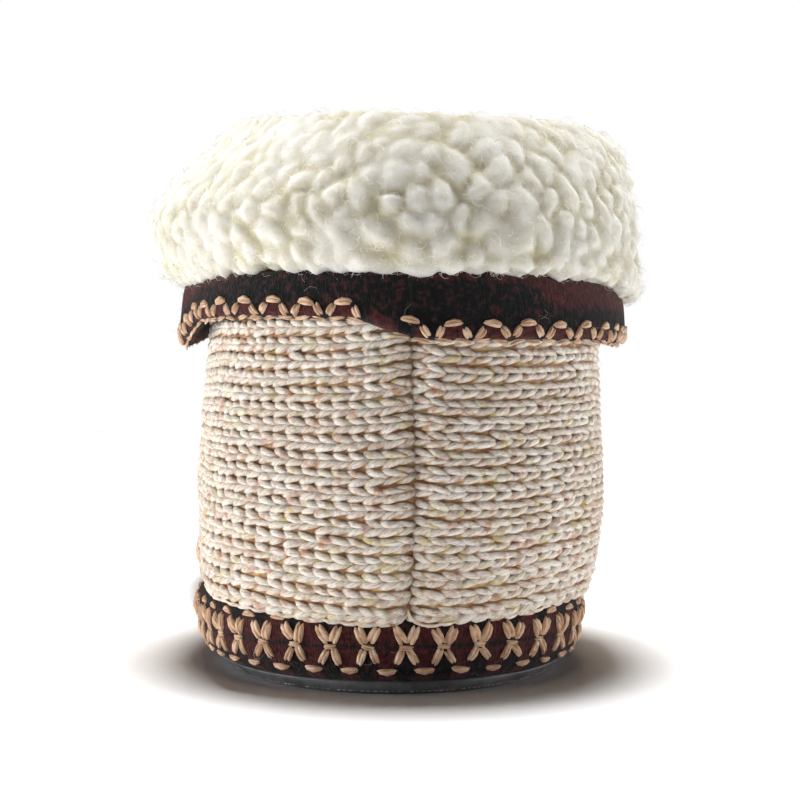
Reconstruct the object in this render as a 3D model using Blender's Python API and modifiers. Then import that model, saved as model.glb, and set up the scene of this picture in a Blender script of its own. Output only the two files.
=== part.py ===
"""Knit slipper bootie, left shoe: a hollow knit upper on a flat sole, with a turned-down fleece cuff.

Metres, +Z up. The toe points to +Y and the big-toe side is +X. The sole rests on Z = 0 and the origin is
under the middle of the shoe. A place on the last is given by its share of the way round the sole, from the
heel seam by the little-toe side to the toe tip at 0.5 and back, and by its way up the upper.
"""
import math

import bmesh
import bpy
from mathutils import Vector

MM = 0.001
UP = Vector((0, 0, 1))

# ---- the last ----------------------------------------------------------------------------------------
LENGTH = 252 * MM            # along the outer face of the sole band
BALL_WIDTH = 93 * MM
HEEL_WIDTH = 80 * MM
HEEL_Y = -122.7 * MM         # heel end of the sole band
AXIS_X = -2.2 * MM           # line of the heel seam
TOE_SPRING = 6 * MM
TOE_SPRING_FROM = 0.72       # share of the length where the toe begins to rise
GAP = 0.3 * MM               # between pieces that touch

# Outline of the sole band's outer face. Along is a share of LENGTH from the heel, across a share of half the
# ball's width, with the little-toe side minus.
HEEL = HEEL_WIDTH / BALL_WIDTH
OUTLINE = (
    # place,               along, across
    ("heel seam",          0.000, 0.00),
    ("heel round, outer",  0.046, -0.71 * HEEL),
    ("heel side, outer",   0.160, -HEEL),
    ("waist, outer",       0.350, -0.84),
    ("ball, outer",        0.620, -0.94),
    ("little toe",         0.805, -0.89),
    ("toe round, outer",   0.940, -0.54),
    ("toe tip",            1.000, 0.12),
    ("toe round, inner",   0.942, 0.75),
    ("ball, inner",        0.740, 1.06),
    ("waist, inner",       0.430, 0.80),
    ("heel side, inner",   0.165, HEEL),
    ("heel round, inner",  0.046, 0.71 * HEEL),
)
TOE_ROW = 7                  # row of the toe tip in OUTLINE
SPAN_STEPS = 24              # steps between two rows of OUTLINE when it is measured
NEAR = 0.004                 # share of the way round to each side that gives the outline's direction

# ---- outsole and insole ------------------------------------------------------------------------------
OUTSOLE_THICK = 2.6 * MM
OUTSOLE_INSET = 2.6 * MM     # of its edge at the heel seam, inside the outer face of the sole band
OUTSOLE_EDGE = 1.1 * MM      # rounding of its lower edge
TURN_UNDER = 4.4 * MM        # how much further in the foot of the sole and its band is at the sides
TURN_FROM = 6 * MM           # way round from the heel seam where they begin to turn under
TURN_FULL = 42 * MM          # and where they are fully turned under
TURN_TOP = 7.0 * MM          # height below which they turn under
ARCH_RISE = 0.8 * MM         # hollow under the waist of the sole
ARCH = (0.26, 0.34, 0.44, 0.52)  # shares of the length where the hollow begins, is full, and ends
INSOLE_THICK = 7.5 * MM
INSOLE_INSET = 4.4 * MM      # of its side, inside the outer face of the sole band
INSOLE_TUCK = 1.6 * MM       # how much narrower its lower face is
INSOLE_EDGE = 2.5 * MM       # rounding of its upper rim
INSOLE_EDGE_KNEE = 0.3       # share of that rounding, in and down, where it turns
INSOLE_DISH = 1.2 * MM       # of the footbed's middle below its rim
PLATE_RINGS = (0.84, 0.62, 0.40, 0.20)  # shares of the way from the middle of a plate to its edge

# ---- sole band ---------------------------------------------------------------------------------------
BAND_SECTION = (
    # place,          height, in from the outer face (mm)
    ("foot, out",     2.9, 2.6),
    ("lower swell",   5.5, 1.1),
    ("waist",         9.6, 0.5),
    ("upper swell",   13.0, 0.0),
    ("shoulder",      15.4, 0.8),
    ("top, out",      16.6, 2.0),
    ("top, in",       16.6, 4.4),
    ("inside",        9.6, 3.2),
    ("foot, in",      2.9, 5.2),
)

# ---- knit upper --------------------------------------------------------------------------------------
WALL = 2.8 * MM
HEM_HEIGHT = 17.0 * MM       # lower edge of the knit at the sides and toe
HEM_DROP = 3.7 * MM          # how much lower it hangs over the band at the heel
HEM_OUT = -1.2 * MM          # of the knit outside the band's outer face at the sides
HEM_OUT_HEEL = 3.9 * MM      # the same at the heel
HEM_SWING = 1.8              # how soon it swings out to that, going round to the heel
HEEL_REACH = 74 * MM         # how far round from the seam the heel's drop reaches
COLLAR_ALONG = 60 * MM       # middle of the collar from the heel end
COLLAR_LEAN = 4.1 * MM       # of the collar towards the big-toe side
COLLAR_HALF_LENGTH = 54 * MM
COLLAR_HALF_WIDTH = 40.4 * MM
COLLAR_BACK = 97 * MM        # height of the knit's top edge at the heel
COLLAR_FRONT = 101 * MM
BELLY_RISE = (26 * MM, 58 * MM)    # handle above the hem at the heel and at the toe
BELLY_OUT = (5.3 * MM, 17.0 * MM)  # its lean outwards at the heel and at the toe
BELLY_LEAN = 0.75            # share of the collar's lean that it has at the heel
SHAFT_DROP = (28 * MM, 50 * MM)    # handle below the collar at the heel and at the toe
SHAFT_OUT = (0.5 * MM, 5.0 * MM)   # its lean outwards at the heel and at the toe
UPPER_ROWS = 14
NEAR_UP = 0.01               # way up the upper to each side that gives its direction
SEAM_DEPTH = 1.1 * MM        # crease of the heel seam
SEAM_HALF = 2.0 * MM
SEAM_COLUMNS = (-0.0068, -0.0034, 0.0034, 0.0068)  # extra columns beside it, as shares of the way round
SEAM_FADE = (0.04, 0.72, 0.80)   # ways up the upper where it is full, begins to fade and ends
COLUMNS = 64

# ---- turned-down cuff --------------------------------------------------------------------------------
# Section of the fleece, in mm down from the knit's top edge and out from its outer face, at the big-toe side
# (inner) and at the little-toe side (outer).
CUFF_SECTION = (
    # place,             inner down, out, outer down, out
    ("hem, under",       21.6, 3.0, 19.0, 3.6),
    ("hem",              22.5, 9.0, 19.8, 7.8),
    ("low belly",        15.0, 9.1, 14.0, 12.6),
    ("belly",            6.0, 8.6, 6.0, 13.6),
    ("shoulder",         -4.0, 7.5, -1.5, 8.6),
    ("outer crown",      -9.5, 5.2, -8.5, 1.6),
    ("crown",            -12.2, -0.4, -14.2, -4.4),
    ("inner crown",      -9.6, -7.5, -10.4, -9.2),
    ("inner shoulder",   -3.0, -11.0, -3.0, -11.4),
    ("inside",           8.0, -11.6, 8.0, -11.6),
    ("inner hem",        17.5, -10.2, 17.5, -10.2),
    ("inner hem, under", 19.0, -6.5, 19.0, -6.5),
    ("slot, inside",     18.0, -3.6, 18.0, -3.6),
    ("slot, inside mid", 9.0, -3.6, 9.0, -3.6),
    ("slot, top inside", -0.4, -3.2, -0.4, -3.2),
    ("slot, top outside", -0.4, 0.4, -0.4, 0.4),
    ("slot, outside",    10.0, 1.2, 10.0, 1.6),
)
LUMP_ROWS = 12               # rows of CUFF_SECTION that the fleece's lumps move: all but the slot
LUMP = 0.6 * MM
LUMP_PITCH = 16 * MM         # from row to row of lumps
LUMP_WAVES = (
    # waves round the cuff, turns from row to row, share of LUMP
    (23, 1.7, 0.5),
    (17, 0.3, 0.5),
    (13, -0.8, 0.7),
)
CUFF_COLUMNS = 64
OUTER_ROWS = 4               # rows of CUFF_SECTION below the crown, which the heel's lift shortens
HEEL_LIFT = 0.13             # share by which the cuff is shorter at the heel
COLLAR_STEPS = 400           # steps of the collar when it is measured
DOWN_STEPS = 48              # steps from the collar down to the hem when that way is measured

# Lower edge of the cuff band: it is folded up short on the outer side and hangs longer past the joint.
BAND_DROP = (
    # place,              share of the way round, down (mm)
    ("joint, long side",  -0.004, 31.4),
    ("joint, short side", 0.019, 27.4),
    ("outer back",        0.085, 27.6),
    ("rolled edge",       0.130, 33.0),
    ("outer front",       0.300, 31.0),
    ("front",             0.500, 30.0),
    ("inner front",       0.700, 31.6),
    ("inner back",        0.900, 31.8),
)
CUFF_BAND_SECTION = (
    # place,             share of its height, inner out, outer out (mm)
    ("top, in",          0.0, 2.6, 2.9),
    ("top, out",         0.0, 5.3, 5.8),
    ("swell",            0.5, 5.8, 6.4),
    ("low, out",         0.9, 5.5, 6.1),
    ("fold",             1.0, 4.1, 4.6),
    ("low, in",          0.9, 2.6, 3.0),
)
CUFF_BAND_GAP = 0.45 * MM    # below the fleece's hem

COLOURS = {
    # piece: colour, roughness
    "outsole": ((0.035, 0.035, 0.038), 0.65),
    "insole": ((0.78, 0.74, 0.66), 0.95),
    "sole_band": ((0.11, 0.045, 0.035), 0.9),
    "upper": ((0.66, 0.56, 0.45), 0.9),
    "cuff_band": ((0.09, 0.035, 0.03), 0.9),
    "fleece_cuff": ((0.85, 0.82, 0.73), 0.95),
}


def blend(low, high, share):
    return low + (high - low) * share


def ease(share):
    """Smooth step from 0 to 1."""
    share = min(max(share, 0.0), 1.0)
    return share * share * (3 - 2 * share)


# ---- the last's functions ----------------------------------------------------------------------------
def catmull(p0, p1, p2, p3, t):
    """Point at t between p1 and p2 on a Catmull-Rom curve."""
    return 0.5 * ((2 * p1) + (p2 - p0) * t + (2 * p0 - 5 * p1 + 4 * p2 - p3) * t ** 2
                  + (3 * p1 - p0 - 3 * p2 + p3) * t ** 3)


def outline_halves():
    """The outline as two fine lines: heel to toe by the outer side, and toe to heel by the inner side."""
    rows = [Vector((AXIS_X + across * BALL_WIDTH / 2, HEEL_Y + along * LENGTH, 0))
            for _, along, across in OUTLINE]
    count = len(rows)
    fine = []
    for i in range(count):
        four = [rows[(i + k) % count] for k in (-1, 0, 1, 2)]
        fine += [catmull(*four, k / SPAN_STEPS) for k in range(SPAN_STEPS)]
    toe = TOE_ROW * SPAN_STEPS
    return fine[:toe + 1], fine[toe:] + fine[:1]


def measured(line):
    """A line with the length from its start to each of its points."""
    lengths = [0.0]
    for a, b in zip(line, line[1:]):
        lengths.append(lengths[-1] + (b - a).length)
    return line, lengths


HALVES = [measured(half) for half in outline_halves()]
WAY_ROUND = HALVES[0][1][-1] + HALVES[1][1][-1]


def at_length(line, lengths, distance):
    """Point at a distance along a measured line."""
    distance = min(max(distance, 0.0), lengths[-1])
    for i in range(1, len(line)):
        if lengths[i] >= distance:
            step = lengths[i] - lengths[i - 1]
            return line[i - 1].lerp(line[i], (distance - lengths[i - 1]) / step)
    return line[-1].copy()


def outline(share):
    """Point on the outline, share of the way round: 0 at the heel seam, 0.5 at the toe tip."""
    share %= 1.0
    line, lengths = HALVES[0] if share < 0.5 else HALVES[1]
    return at_length(line, lengths, (share % 0.5) * 2 * lengths[-1])


def outline_normal(share):
    """Outward normal of the outline."""
    along = outline(share + NEAR) - outline(share - NEAR)
    return along.cross(UP).normalized() * -1


def turned_under(share, height):
    """How much further in the sole's sides are at a height than its back is at the heel seam."""
    away = min(share % 1.0, 1 - share % 1.0) * WAY_ROUND
    sides = ease((away - TURN_FROM) / (TURN_FULL - TURN_FROM))
    return TURN_UNDER * sides * max(0.0, 1 - height / TURN_TOP) ** 2


def inset(share, distance, height):
    """Point inside the outline by a distance, and turned under, at a height above the sole's own rise."""
    point = outline(share) - outline_normal(share) * (distance + turned_under(share, height))
    point.z = height + toe_rise(point.y)
    return point


def toe_rise(y):
    """Rise of the toe above the floor."""
    share = (y - HEEL_Y) / LENGTH
    return TOE_SPRING * max(0.0, (share - TOE_SPRING_FROM) / (1 - TOE_SPRING_FROM)) ** 2


def arch_rise(y):
    """Hollow under the sole's waist."""
    share = (y - HEEL_Y) / LENGTH
    return ARCH_RISE * (ease((share - ARCH[0]) / (ARCH[1] - ARCH[0]))
                        - ease((share - ARCH[2]) / (ARCH[3] - ARCH[2])))


def heel_share(share):
    """1 at the heel seam, 0 from the heel's sides on."""
    away = min(share % 1.0, 1 - share % 1.0) * WAY_ROUND
    return 0.5 * (1 + math.cos(math.pi * min(1.0, away / HEEL_REACH)))


# ---- the upper's function ----------------------------------------------------------------------------
COLLAR_MIDDLE = Vector((AXIS_X + COLLAR_LEAN, HEEL_Y + COLLAR_ALONG, 0))


def collar_direction(share):
    """Direction from the collar's middle to the outline."""
    way = outline(share) - COLLAR_MIDDLE
    way.z = 0
    return way.normalized()


def upper_handles(share):
    """The four points of the curve that runs up the upper's outer face."""
    heel = heel_share(share)
    foot = outline(share) + outline_normal(share) * blend(HEM_OUT, HEM_OUT_HEEL, ease(HEM_SWING * heel))
    foot.z = HEM_HEIGHT - HEM_DROP * heel ** 2 + toe_rise(foot.y)
    way = collar_direction(share)
    reach = 1 / math.hypot(way.x / COLLAR_HALF_WIDTH, way.y / COLLAR_HALF_LENGTH)
    top = COLLAR_MIDDLE + way * reach
    top.z = blend(COLLAR_BACK, COLLAR_FRONT, (way.y + 1) / 2)
    far = ((foot - COLLAR_MIDDLE).xy.length - reach) / (LENGTH - COLLAR_ALONG - COLLAR_HALF_LENGTH)
    far = min(max(far, 0.0), 1.0)
    lean = Vector((COLLAR_LEAN, 0, 0))
    low = foot + UP * blend(*BELLY_RISE, far) + outline_normal(share) * blend(*BELLY_OUT, far)
    low += lean * BELLY_LEAN * (1 - far)
    high = top - UP * blend(*SHAFT_DROP, far) + way * blend(*SHAFT_OUT, far)
    return foot, low, high, top


def bezier(points, t):
    a, b, c, d = points
    s = 1 - t
    return a * s ** 3 + b * (3 * s * s * t) + c * (3 * s * t * t) + d * t ** 3


def seam_crease(share, t):
    """Depth of the crease at the heel seam."""
    full, fading, end = SEAM_FADE
    away = min(share % 1.0, 1 - share % 1.0) * WAY_ROUND
    along = blend(0.5, 1.0, ease(t / full)) * (1 - ease((t - fading) / (end - fading)))
    return SEAM_DEPTH * along * max(0.0, 1 - away / SEAM_HALF)


def upper_normal(share, t):
    """Outward normal of the upper's outer face."""
    here = upper_handles(share)
    up = bezier(here, min(1, t + NEAR_UP)) - bezier(here, max(0, t - NEAR_UP))
    along = bezier(upper_handles(share + NEAR), t) - bezier(upper_handles(share - NEAR), t)
    return up.cross(along).normalized()


def upper_point(share, t):
    """Point on the upper's outer face, t from 0 at the hem to 1 at the collar."""
    return bezier(upper_handles(share), t) - upper_normal(share, t) * seam_crease(share, t)


def cuff_frame(share):
    """The upper's curve from the collar down, measured, for pieces that hang on its outside."""
    handles = upper_handles(share)
    return measured([bezier(handles, 1 - k / DOWN_STEPS) for k in range(DOWN_STEPS + 1)])


def cuff_point(share, down, out):
    """Point a way down from the knit's top edge and out from its outer face."""
    line, lengths = cuff_frame(share)
    t = 1.0
    if down > 0:
        point = at_length(line, lengths, down)
        t = 1 - next(i for i, length in enumerate(lengths) if length >= down) / (len(line) - 1)
    else:
        point = line[0] + (line[0] - line[1]).normalized() * -down
    return point + upper_normal(share, t) * out


# ---- building ----------------------------------------------------------------------------------------
def remove_everything():
    for thing in list(bpy.data.objects):
        bpy.data.objects.remove(thing, do_unlink=True)


def material(name):
    colour, roughness = COLOURS[name]
    made = bpy.data.materials.new(name)
    made.use_nodes = True
    shader = made.node_tree.nodes["Principled BSDF"]
    shader.inputs["Base Color"].default_value = (*colour, 1)
    shader.inputs["Roughness"].default_value = roughness
    shader.inputs["Metallic"].default_value = 0.0
    return made


def add_part(name, mesh_data, collection):
    """Put a bmesh into an object of its own, shaded smooth, with its faces pointing out."""
    bmesh.ops.recalc_face_normals(mesh_data, faces=mesh_data.faces)
    mesh = bpy.data.meshes.new(name)
    mesh_data.to_mesh(mesh)
    mesh_data.free()
    mesh.materials.append(material(name))
    mesh.shade_smooth()
    mesh.set_sharp_from_angle(angle=math.radians(40))
    part = bpy.data.objects.new(name, mesh)
    collection.objects.link(part)
    return part


def skin(mesh_data, rings, closed):
    """Faces between neighbouring rings of points; closed joins the last ring to the first."""
    made = [[mesh_data.verts.new(point) for point in ring] for ring in rings]
    pairs = list(zip(made, made[1:])) + ([(made[-1], made[0])] if closed else [])
    for one, other in pairs:
        for i in range(len(one)):
            j = (i + 1) % len(one)
            mesh_data.faces.new((one[i], one[j], other[j], other[i]))
    return made


def column_shares():
    """Shares of the way round for the columns of points, closer together at the heel seam."""
    shares = {k / COLUMNS for k in range(COLUMNS)} | {side % 1.0 for side in SEAM_COLUMNS}
    return sorted(shares)


def plate(name, edge, middle_height, collection):
    """A closed plate: edge is its rings from the lower face's rim up to the upper face's rim."""
    data = bmesh.new()
    made = skin(data, edge, closed=False)
    for rim, lower in ((made[0], True), (made[-1], False)):
        centre = Vector((AXIS_X, HEEL_Y + LENGTH / 2, 0))
        last = rim
        for share in PLATE_RINGS:
            ring = []
            for vert in rim:
                point = centre.lerp(vert.co, share)
                point.z = middle_height(point.y, share, lower)
                ring.append(data.verts.new(point))
            for i in range(len(ring)):
                j = (i + 1) % len(ring)
                data.faces.new((last[i], last[j], ring[j], ring[i]))
            last = ring
        centre.z = middle_height(centre.y, 0.0, lower)
        hub = data.verts.new(centre)
        for i in range(len(last)):
            data.faces.new((last[i], last[(i + 1) % len(last)], hub))
    bmesh.ops.triangulate(data, faces=[face for face in data.faces if len(face.verts) > 3])
    return add_part(name, data, collection)


def outsole(collection, shares):
    """Thin flat sole: rounded lower edge, hollow under the waist, toe spring."""
    def ring(distance, height, arched):
        points = [inset(share, distance, height) for share in shares]
        for point in points:
            point.z += arch_rise(point.y) * arched
        return points

    def height(y, share, lower):
        return toe_rise(y) + (arch_rise(y) if lower else OUTSOLE_THICK)

    edge = [
        ring(OUTSOLE_INSET + OUTSOLE_EDGE, 0.0, 1),
        ring(OUTSOLE_INSET, OUTSOLE_EDGE, 1),
        ring(OUTSOLE_INSET, OUTSOLE_THICK, 0),
    ]
    return plate("outsole", edge, height, collection)


def insole(collection, shares):
    """Soft footbed inside the band, with a rounded rim and a dished middle."""
    foot = OUTSOLE_THICK + GAP
    knee = INSOLE_EDGE_KNEE * INSOLE_EDGE

    def height(y, share, lower):
        if lower:
            return foot + toe_rise(y)
        return foot + INSOLE_THICK + toe_rise(y) - INSOLE_DISH * (1 - share ** 2)

    edge = [
        [inset(share, INSOLE_INSET + INSOLE_TUCK, foot) for share in shares],
        [inset(share, INSOLE_INSET, foot + INSOLE_THICK - INSOLE_EDGE) for share in shares],
        [inset(share, INSOLE_INSET + knee, foot + INSOLE_THICK - knee) for share in shares],
        [inset(share, INSOLE_INSET + INSOLE_EDGE, foot + INSOLE_THICK) for share in shares],
    ]
    return plate("insole", edge, height, collection)


def sole_band(collection, shares):
    """Woven strip that stands on the outsole's rim all the way round."""
    data = bmesh.new()
    rings = [[inset(share, depth * MM, height * MM) for _, height, depth in BAND_SECTION]
             for share in shares]
    skin(data, rings, closed=True)
    return add_part("sole_band", data, collection)


def upper(collection, shares):
    """Hollow knit upper, open at the collar and underneath: one surface, thickened inwards."""
    data = bmesh.new()
    rings = [[upper_point(share, row / UPPER_ROWS) for share in shares] for row in range(UPPER_ROWS + 1)]
    skin(data, rings, closed=False)
    part = add_part("upper", data, collection)
    wall = part.modifiers.new("wall", "SOLIDIFY")
    wall.thickness = WALL
    wall.offset = -1
    wall.use_even_offset = True
    return part


def cuff_shares():
    """Shares of the way round whose places on the collar are evenly spaced."""
    tops = [upper_handles(k / COLLAR_STEPS)[3] for k in range(COLLAR_STEPS + 1)]
    lengths = measured(tops)[1]
    shares, k = [], 0
    for column in range(CUFF_COLUMNS):
        wanted = lengths[-1] * column / CUFF_COLUMNS
        while lengths[k + 1] < wanted:
            k += 1
        part_way = (wanted - lengths[k]) / (lengths[k + 1] - lengths[k])
        shares.append((k + part_way) / COLLAR_STEPS)
    return shares


def outer_side(share):
    """0 at the big-toe side of the collar, 1 at the little-toe side."""
    return (1 - collar_direction(share).x) / 2


def heel_shortening(share):
    """Factor on the cuff's depth: less than 1 at the heel."""
    return 1 - HEEL_LIFT * max(0.0, -collar_direction(share).y) ** 2


def lump(column, down):
    """Swell of the fleece's clumps: out and in by turns round the cuff, in staggered rows."""
    around = 2 * math.pi * column / CUFF_COLUMNS
    rows = 2 * math.pi * down / LUMP_PITCH
    return LUMP * sum(part * math.sin(waves * around + turns * rows) for waves, turns, part in LUMP_WAVES)


def fleece_cuff(collection):
    """Thick fleece turned down over the collar, with a slot for the knit's top edge."""
    data = bmesh.new()
    rings = []
    for column, share in enumerate(cuff_shares()):
        side = outer_side(share)
        ring = []
        for row, (_, inner_down, inner_out, outer_down, outer_out) in enumerate(CUFF_SECTION):
            down = blend(inner_down, outer_down, side) * MM
            out = blend(inner_out, outer_out, side) * MM
            if row < OUTER_ROWS:
                down *= heel_shortening(share)
            if 0 < row < LUMP_ROWS:
                out += lump(column, down) * math.copysign(1, out)
            ring.append(cuff_point(share, down, out))
        rings.append(ring)
    skin(data, rings, closed=True)
    return add_part("fleece_cuff", data, collection)


def band_drop(share):
    """How far below the knit's top edge the cuff band ends."""
    rows = [(at, down) for _, at, down in BAND_DROP]
    share = (share - rows[0][0]) % 1.0 + rows[0][0]
    rows.append((1 + rows[0][0], rows[0][1]))
    for (low, low_down), (high, high_down) in zip(rows, rows[1:]):
        if share <= high:
            return blend(low_down, high_down, ease((share - low) / (high - low))) * MM
    return rows[-1][1] * MM


def cuff_band(collection):
    """Woven strip at the cuff's lower edge, its own edge rolled."""
    data = bmesh.new()
    _, inner_hem, _, outer_hem, _ = CUFF_SECTION[1]
    rings = []
    for share in cuff_shares():
        side = outer_side(share)
        top = blend(inner_hem, outer_hem, side) * MM * heel_shortening(share) + CUFF_BAND_GAP
        height = band_drop(share) - top
        rings.append([cuff_point(share, top + part * height, blend(inner, outer, side) * MM)
                      for _, part, inner, outer in CUFF_BAND_SECTION])
    skin(data, rings, closed=True)
    return add_part("cuff_band", data, collection)


def build():
    remove_everything()
    collection = bpy.data.collections.new("knit_slipper_bootie")
    bpy.context.scene.collection.children.link(collection)
    shares = column_shares()
    for make in (outsole, insole, sole_band, upper):
        make(collection, shares)
    fleece_cuff(collection)
    cuff_band(collection)


build()
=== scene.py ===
"""Looks of the knit slipper bootie: knitted yarn, jacquard bands, sherpa fleece and a dark sole.

Metres, +Z up, toe to +Y, big-toe side +X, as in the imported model. The functions of the last are those of the
part's source, so a place is again a share of the way round the sole and a way up the upper. Tables are in mm,
unless their headings say otherwise.
"""

import math

import bpy
import numpy as np
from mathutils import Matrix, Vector, noise


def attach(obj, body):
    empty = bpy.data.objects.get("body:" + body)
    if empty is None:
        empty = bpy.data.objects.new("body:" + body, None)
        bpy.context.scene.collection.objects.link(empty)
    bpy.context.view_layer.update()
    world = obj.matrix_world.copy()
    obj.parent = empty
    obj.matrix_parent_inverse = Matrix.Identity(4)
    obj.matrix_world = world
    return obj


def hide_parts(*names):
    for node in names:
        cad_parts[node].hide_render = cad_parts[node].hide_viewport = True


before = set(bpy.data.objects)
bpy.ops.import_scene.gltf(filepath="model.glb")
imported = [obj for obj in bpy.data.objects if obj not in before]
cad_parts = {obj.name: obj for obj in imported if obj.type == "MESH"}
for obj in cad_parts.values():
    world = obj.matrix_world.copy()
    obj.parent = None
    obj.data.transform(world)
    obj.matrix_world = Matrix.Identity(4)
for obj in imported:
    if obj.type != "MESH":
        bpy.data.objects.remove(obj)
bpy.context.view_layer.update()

MM = 0.001
UP = np.array((0.0, 0.0, 1.0))
RNG = np.random.default_rng(11)
noise.seed_set(11)  # without it noise_vector takes its offsets from the clock

# ---- the last, as in the part's source ----
LENGTH = 252 * MM
BALL_WIDTH = 93 * MM
HEEL_WIDTH = 80 * MM
HEEL_Y = -122.7 * MM
AXIS_X = -2.2 * MM
TOE_SPRING = 6 * MM
TOE_SPRING_FROM = 0.72
HEEL = HEEL_WIDTH / BALL_WIDTH
OUTLINE = (
    # place,               along in lengths, across in half widths of the ball
    ("heel seam",          0.000, 0.00),
    ("heel round, outer",  0.046, -0.71 * HEEL),
    ("heel side, outer",   0.160, -HEEL),
    ("waist, outer",       0.350, -0.84),
    ("ball, outer",        0.620, -0.94),
    ("little toe",         0.805, -0.89),
    ("toe round, outer",   0.940, -0.54),
    ("toe tip",            1.000, 0.12),
    ("toe round, inner",   0.942, 0.75),
    ("ball, inner",        0.740, 1.06),
    ("waist, inner",       0.430, 0.80),
    ("heel side, inner",   0.165, HEEL),
    ("heel round, inner",  0.046, 0.71 * HEEL),
)
TOE_ROW = 7
SPAN_STEPS = 24
NEAR = 0.004
HEM_HEIGHT = 17.0 * MM
HEM_DROP = 3.7 * MM
HEM_OUT = -1.2 * MM
HEM_OUT_HEEL = 3.9 * MM
HEM_SWING = 1.8
HEEL_REACH = 74 * MM
COLLAR_ALONG = 60 * MM
COLLAR_LEAN = 4.1 * MM
COLLAR_HALF_LENGTH = 54 * MM
COLLAR_HALF_WIDTH = 40.4 * MM
COLLAR_BACK = 97 * MM
COLLAR_FRONT = 101 * MM
COLLAR_STEPS = 400
BELLY_RISE = (26 * MM, 58 * MM)
BELLY_OUT = (5.3 * MM, 17.0 * MM)
BELLY_LEAN = 0.75
SHAFT_DROP = (28 * MM, 50 * MM)
SHAFT_OUT = (0.5 * MM, 5.0 * MM)
COLLAR_MIDDLE = np.array((AXIS_X + COLLAR_LEAN, HEEL_Y + COLLAR_ALONG, 0.0))

# ---- knit ----
COLUMNS = 640  # of the fine grid over the upper
ROWS = 170
ROLL = 2.2 * MM  # radius of the knit's rolled lower edge
ROLL_ROWS = 5
ROLL_TURN = math.radians(115)
SEAM_DEPTH = 2.4 * MM  # crease of the heel seam
SEAM_WIDTH = 1.6 * MM
SEAM_EDGE = 0.35 * MM  # between the seam and the first stitch of a row
FAN = 12  # columns to each side that a step of the way from the hem may cross
ALONG_ROW = (1, -1, 3, -3, 1, -1, 7, -7, 1, -1)  # columns that the way may run along a row, in turn
WAY_SMOOTHED = 6  # times
WALE = 3.3 * MM  # from row to row of stitches, which lie sideways round the shoe
FIRST_WALE = 0.35  # wales from the hem to the first row
LEAST_COLUMNS = 4  # of the grid, for a row of stitches
STITCH = 3.15 * MM  # along a row
WALE_TILT = (-0.15, -0.12)  # how much the rows climb, going away from the seam, on the outer and inner side
TILT_REACH = 60 * MM
TILT_FULL = 45 * MM  # way from the hem where the rows are fully tilted
TILT_FADE = (0.30, 0.20)  # share of the way round where they begin to level out, and how long that takes
STITCH_LEG = (
    # along, side, lift, radius, from the tucked end to the outer end
    (-2.80, 0.14, -0.40, 0.18),
    (-1.75, 0.30, 0.06, 0.58),
    (-0.50, 0.56, 0.26, 0.73),
    (0.80, 0.86, 0.24, 0.74),
    (1.85, 1.10, -0.12, 0.51),
    (2.50, 1.24, -0.66, 0.16),
)
LEG_FLAT = 0.85  # of a leg's section, off the shoe
LEG_ARC = math.radians(115)  # half the arc that is modelled of a strand's section
LEG_SIDES = 4
STITCH_SINK = 0.65 * MM  # of the stitches' ground below the solid's face, so that they reach as far out
STITCH_STRAY = (0.06, 0.14, 0.07)  # how unevenly the legs lie: out, along and across, mm
STITCH_TURN = 0.05  # and turned, radians
STITCH_SPREAD = (0.07, 0.08)  # of their lengths and widths
STITCH_DRIFT = 0.35 * MM  # how far the rows wander
DRIFT_SIZE = 9 * MM
COVERED = 18 * MM  # how far below the collar the cuff hides the knit
RIDGE_LIFT = 0.3 * MM  # of the wale that covers the seam over the toe
SHELL_SINK = 0.35 * MM  # of the shell's face below the stitches' ground
SHELL_WALL = 2.8 * MM
SHELL_STEPS = (3, 3, 5)  # of the grid: round the shoe, up the face and up the inside
YARN_STARTS = 9  # mm of yarn over which the strands' patterns start
LEG_YARN = (5.4, 2.6)  # mm of yarn along a leg and round it
PLY_YARN = 1.8  # mm of yarn round a ply

# ---- turned-down cuff, as in the part's source ----
CUFF_SECTION = (
    # place,             inner down, out, outer down, out
    ("hem, under",       21.6, 3.0, 19.0, 3.6),
    ("hem",              22.5, 9.0, 19.8, 7.8),
    ("low belly",        15.0, 9.1, 14.0, 12.6),
    ("belly",            6.0, 8.6, 6.0, 13.6),
    ("shoulder",         -4.0, 7.5, -1.5, 8.6),
    ("outer crown",      -9.5, 5.2, -8.5, 1.6),
    ("crown",            -12.2, -0.4, -14.2, -4.4),
    ("inner crown",      -9.6, -7.5, -10.4, -9.2),
    ("inner shoulder",   -3.0, -11.0, -3.0, -11.4),
    ("inside",           8.0, -11.6, 8.0, -11.6),
    ("inner hem",        17.5, -10.2, 17.5, -10.2),
    ("inner hem, under", 19.0, -6.5, 19.0, -6.5),
    ("slot, inside",     18.0, -3.6, 18.0, -3.6),
    ("slot, inside mid", 9.0, -3.6, 9.0, -3.6),
    ("slot, top inside", -0.4, -3.2, -0.4, -3.2),
    ("slot, top outside", -0.4, 0.4, -0.4, 0.4),
    ("slot, outside",    10.0, 1.2, 10.0, 1.6),
)
OUTER_ROWS = 4
HEEL_LIFT = 0.13
BAND_DROP = (
    # place,              share of the way round, down
    ("joint, long side",  -0.004, 31.4),
    ("joint, short side", 0.019, 27.4),
    ("outer back",        0.085, 27.6),
    ("rolled edge",       0.130, 33.0),
    ("outer front",       0.300, 31.0),
    ("front",             0.500, 30.0),
    ("inner front",       0.700, 31.6),
    ("inner back",        0.900, 31.8),
)
CUFF_BAND_SECTION = (
    # place,             share of its height, inner out, outer out
    ("top, in",          0.0, 2.6, 2.9),
    ("top, out",         0.0, 5.3, 5.8),
    ("swell",            0.5, 5.8, 6.4),
    ("low, out",         0.9, 5.5, 6.1),
    ("fold",             1.0, 4.1, 4.6),
    ("low, in",          0.9, 2.6, 3.0),
)
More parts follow.
